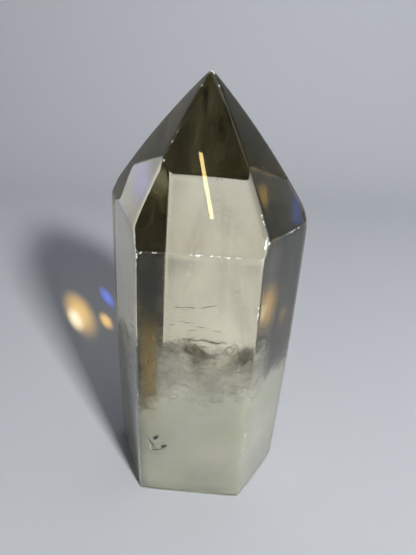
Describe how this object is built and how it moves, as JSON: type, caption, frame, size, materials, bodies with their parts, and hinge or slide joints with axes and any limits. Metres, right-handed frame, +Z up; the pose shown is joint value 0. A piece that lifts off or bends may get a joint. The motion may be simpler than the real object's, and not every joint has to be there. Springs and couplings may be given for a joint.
{
  "type": "smoky quartz tower",
  "caption": "Upright six-sided crystal of clear smoky quartz, milky towards its sawn base, with a polished point; it stands on the base as a table ornament.",
  "frame": {"origin": "middle of the bottom of the stone's box, on the plane of the flat base", "axes": "+Z up the crystal towards its point; the broad front face, the one nearest the picture's camera, faces -Y, turned 5.5 degrees towards -X"},
  "size_m": [0.0438, 0.0402, 0.1],
  "materials": {
    "smoky_quartz": "polished, see-through smoky olive-brown that turns milky towards the base"
  },
  "bodies": {
    "root": {"quartz_tower": "smoky_quartz"}
  },
  "joints": []
}
